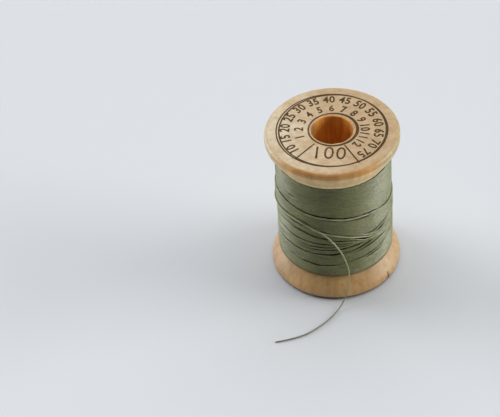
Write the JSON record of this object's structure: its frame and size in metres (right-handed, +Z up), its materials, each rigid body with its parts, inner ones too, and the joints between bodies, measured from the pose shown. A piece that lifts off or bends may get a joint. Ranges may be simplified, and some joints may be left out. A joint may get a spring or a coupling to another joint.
{
  "type": "spool of thread",
  "caption": "Small turned wooden spool with two bevelled heads and a through bore, wound with cotton sewing thread whose end lies loose.",
  "frame": {"origin": "centre of the bottom head's flat outer face, on the spool's axis", "axes": "+Z up along the bore axis; -Y is the side where the loose end of the thread leaves the winding"},
  "size_m": [0.0254, 0.036, 0.0328],
  "materials": {
    "wood_heads": "smooth turned birch, lightly sealed, satin",
    "wood_barrel": "bare turned birch",
    "thread": "mercerised cotton sewing thread, sage green, soft sheen"
  },
  "bodies": {
    "root": {"bottom_head": "wood_heads", "top_head": "wood_heads", "barrel": "wood_barrel", "thread_core": "thread", "thread_turns": "thread", "thread_tail": "thread"}
  },
  "joints": []
}
